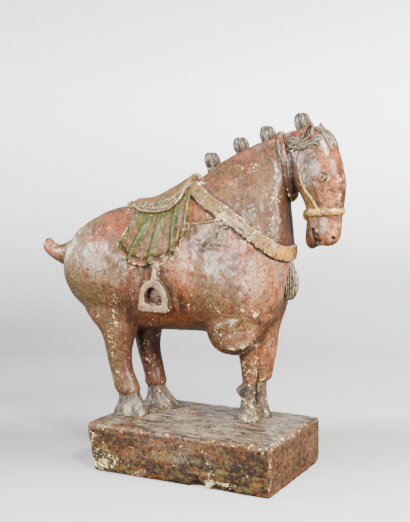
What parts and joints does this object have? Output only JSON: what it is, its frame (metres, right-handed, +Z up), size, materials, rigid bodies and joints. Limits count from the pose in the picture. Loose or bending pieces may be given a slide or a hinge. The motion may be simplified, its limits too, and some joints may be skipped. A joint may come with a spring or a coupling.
{
  "type": "saddled horse statue",
  "caption": "Carved and painted wooden horse standing on an oblong block, saddled and bridled, with knotted mane and curled tail.",
  "frame": {"origin": "middle of the block's underside", "axes": "+X along the block towards the end that the horse faces, +Y to the horse's left, +Z up"},
  "size_m": [0.4576, 0.1927, 0.4985],
  "materials": {
    "painted_wood": "worn paint over gesso, satin"
  },
  "bodies": {
    "root": {"horse_on_plinth": "painted_wood"}
  },
  "joints": []
}
